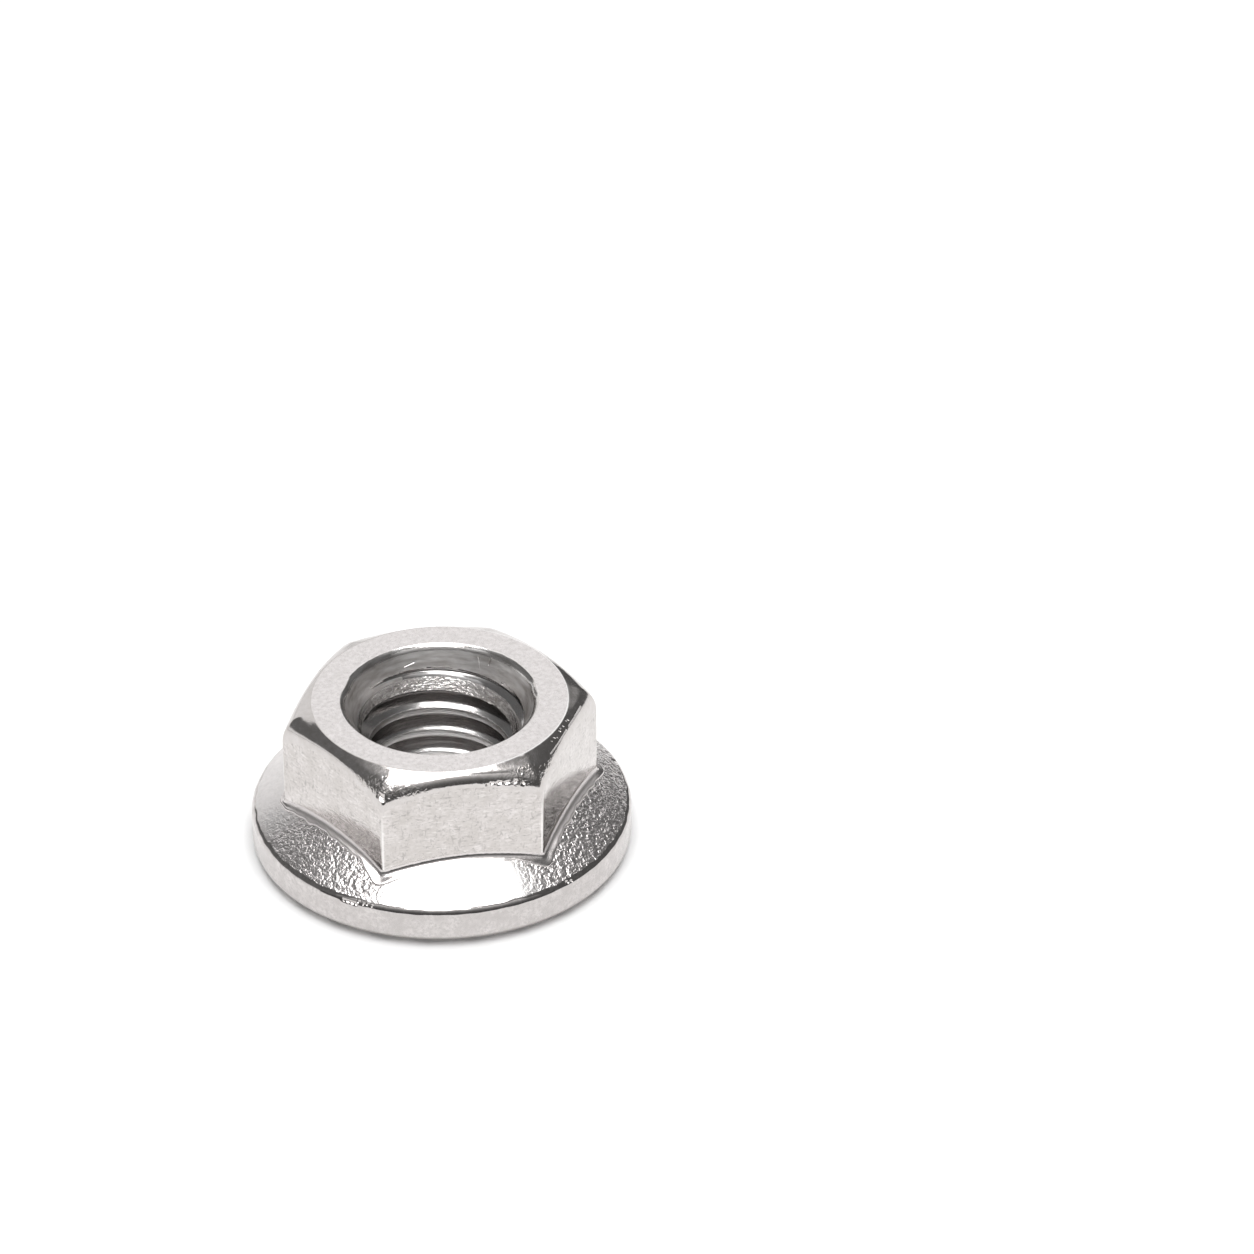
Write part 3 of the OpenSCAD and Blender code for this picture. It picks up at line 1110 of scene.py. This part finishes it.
def stage_object(name, mesh, material):
    data = bpy.data.meshes.new(name)
    mesh.to_mesh(data)
    mesh.free()
    data.materials.append(material)
    made = bpy.data.objects.new(name, data)
    scene.collection.objects.link(made)
    return made


def graded_card(name, low, high, late, dark):
    """Dark card that glows, fading to white towards its top edge by the angle above the table."""
    material, tree, place = new_material(name)
    rise = combine(tree, "ARCTAN2", height_of(tree, place), from_axis(tree, place))
    share = between(tree, rise, 0, 1, math.radians(low), math.radians(high))
    fade = combine(tree, "POWER", share, late)
    glow = node(tree, "ShaderNodeEmission", {"Strength": by_share(tree, fade, dark, 1)})
    node(tree, "ShaderNodeOutputMaterial", {"Surface": glow.outputs[0]})
    return material


def seen_directly(tree):
    """One for rays from the camera and for those that reflections and clear things pass on."""
    path = node(tree, "ShaderNodeLightPath").outputs
    seen = path["Is Camera Ray"]
    for kind in ("Is Glossy Ray", "Is Transmission Ray"):
        seen = combine(tree, "MAXIMUM", seen, path[kind])
    return seen


def white_table():
    """Matt white with a little light of its own where it is seen, so that the paper looks white."""
    material, tree, _ = new_material("white_table")
    paper = node(tree, "ShaderNodeBsdfDiffuse", {"Color": PAPER_WHITE})
    lift = combine(tree, "MULTIPLY", seen_directly(tree), FLOOR_LIFT)
    glow = node(tree, "ShaderNodeEmission", {"Strength": lift})
    both = node(tree, "ShaderNodeAddShader", {0: paper.outputs[0], 1: glow.outputs[0]})
    node(tree, "ShaderNodeOutputMaterial", {"Surface": both.outputs[0]})
    return material


def lay_floor():
    mesh = bmesh.new()
    bmesh.ops.create_grid(mesh, x_segments=1, y_segments=1, size=FLOOR_SIZE / 2)
    stage_object("floor", mesh, white_table())


def stand_cards():
    for name, distance, start, end, low, high, late, dark in CARDS:
        mesh = bmesh.new()
        points = arc((0, 0), distance, low, high, CARD_ROWS) + [on_arc((0, 0), distance, high)]
        verts, edges = chain(mesh, points)
        first = Matrix.Rotation(math.radians(CAMERA_AZIMUTH - 90 + start), 3, "Z")
        bmesh.ops.rotate(mesh, verts=verts, cent=(0, 0, 0), matrix=first)
        spin(mesh, verts + edges, math.radians(end - start), CARD_COLUMNS)
        card = stage_object(name, mesh, graded_card(name, low, high, late, dark))
        card.visible_camera = False
        card.visible_diffuse = False
        card.visible_shadow = False


def light_world():
    world = bpy.data.worlds.new("studio")
    scene.world = world
    world.use_nodes = True
    tree = world.node_tree
    tree.nodes.clear()
    ambient = node(tree, "ShaderNodeBackground", {"Color": PAPER_WHITE, "Strength": AMBIENT})
    backdrop = node(tree, "ShaderNodeBackground", {"Color": PAPER_WHITE, "Strength": BACKDROP})
    sky = node(tree, "ShaderNodeMixShader", {
        0: seen_directly(tree), 1: ambient.outputs[0], 2: backdrop.outputs[0],
    })
    node(tree, "ShaderNodeOutputWorld", {"Surface": sky.outputs[0]})


def hang_softbox():
    lamp = bpy.data.lights.new("softbox", "AREA")
    lamp.shape = "RECTANGLE"
    lamp.size = SOFTBOX_WIDTH
    lamp.size_y = SOFTBOX_LENGTH
    lamp.energy = SOFTBOX_WATTS
    softbox = bpy.data.objects.new("softbox", lamp)
    scene.collection.objects.link(softbox)
    softbox.rotation_euler = (0, 0, math.radians(CAMERA_AZIMUTH))
    softbox.location = softbox.rotation_euler.to_matrix() @ Vector(SOFTBOX_PLACE)


place_camera()
nut = build_nut()
finish_nut(nut)
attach(nut, "root")
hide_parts(NUT)
lay_floor()
stand_cards()
light_world()
hang_softbox()
scene.view_settings.view_transform = "Standard"
